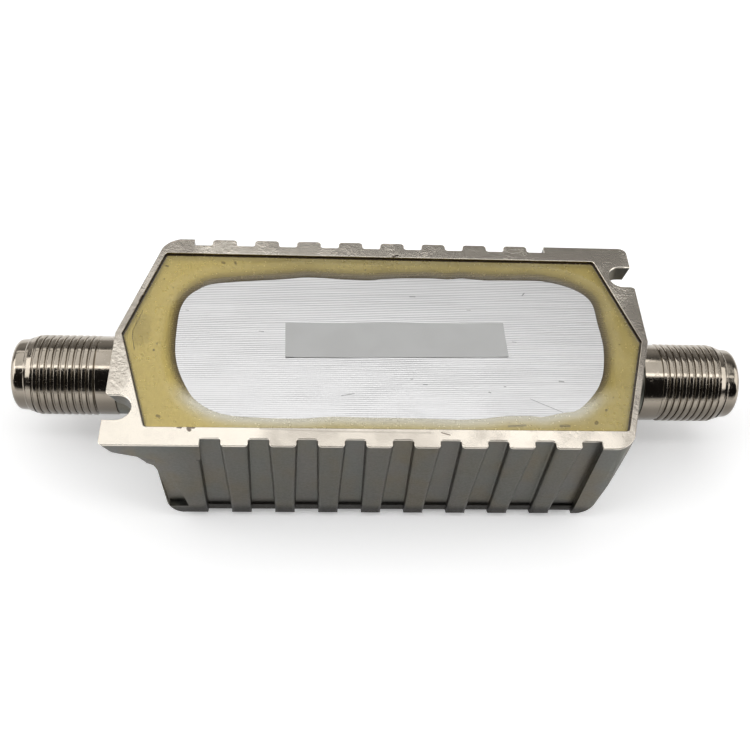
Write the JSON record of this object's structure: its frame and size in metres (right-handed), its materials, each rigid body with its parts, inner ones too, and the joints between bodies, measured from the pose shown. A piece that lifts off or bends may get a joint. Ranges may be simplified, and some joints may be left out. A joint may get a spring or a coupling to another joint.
{
  "type": "tv signal amplifier",
  "caption": "Sealed in-line aerial signal amplifier: ribbed cast casing with slotted ears, resin-sealed cover and a threaded coaxial port at each end.",
  "frame": {"origin": "bottom centre: middle of the front face, on which the part rests", "axes": "+X along the ports towards the output port, +Y across the casing away from the near side, +Z from the front face up to the rim and cover"},
  "size_m": [0.0866, 0.0298, 0.0175],
  "materials": {
    "cast_zinc": "nickel-plated zinc die casting, satin with a fine cast grain",
    "drawn_aluminium": "bare sheet with fine drawn lines along its length",
    "sealing_resin": "clear yellow resin, glossy, with a few specks",
    "label_film": "pale grey satin sticker, blank",
    "port_nickel": "bright nickel plate on a turned barrel",
    "port_insulator": "milky white plastic",
    "contact_brass": "gold-coloured spring brass",
    "board_laminate": "green solder mask on glass laminate",
    "board_copper": "tinned copper track",
    "screw_steel": "zinc-plated steel",
    "solder": "bright solder",
    "chip_black": "black moulded package",
    "capacitor_ceramic": "tan fired ceramic",
    "resistor_black": "black glazed film on ceramic",
    "ferrite": "dark grey ferrite",
    "enamelled_wire": "enamelled copper wire"
  },
  "bodies": {
    "root": {"casing": "cast_zinc", "cover_plate": "drawn_aluminium", "resin_seal": "sealing_resin", "cover_label": "label_film", "input_port_barrel": "port_nickel", "input_port_insulator": "port_insulator", "input_port_contact": "contact_brass", "input_port_bush": "port_insulator", "output_port_barrel": "port_nickel", "output_port_insulator": "port_insulator", "output_port_contact": "contact_brass", "output_port_bush": "port_insulator", "circuit_board": "board_laminate", "board_copper": "board_copper", "board_screws": "screw_steel", "input_solder": "solder", "output_solder": "solder", "first_stage_amplifier": "chip_black", "second_stage_amplifier": "chip_black", "coupling_capacitor_1": "capacitor_ceramic", "coupling_capacitor_2": "capacitor_ceramic", "coupling_capacitor_3": "capacitor_ceramic", "bypass_capacitor_1": "capacitor_ceramic", "bypass_capacitor_2": "capacitor_ceramic", "bypass_capacitor_3": "capacitor_ceramic", "bypass_capacitor_4": "capacitor_ceramic", "bias_resistor_1": "resistor_black", "bias_resistor_2": "resistor_black", "bias_resistor_3": "resistor_black", "bias_resistor_4": "resistor_black", "choke_core": "ferrite", "choke_winding": "enamelled_wire", "voltage_regulator": "chip_black", "protection_diode": "chip_black"}
  },
  "joints": []
}
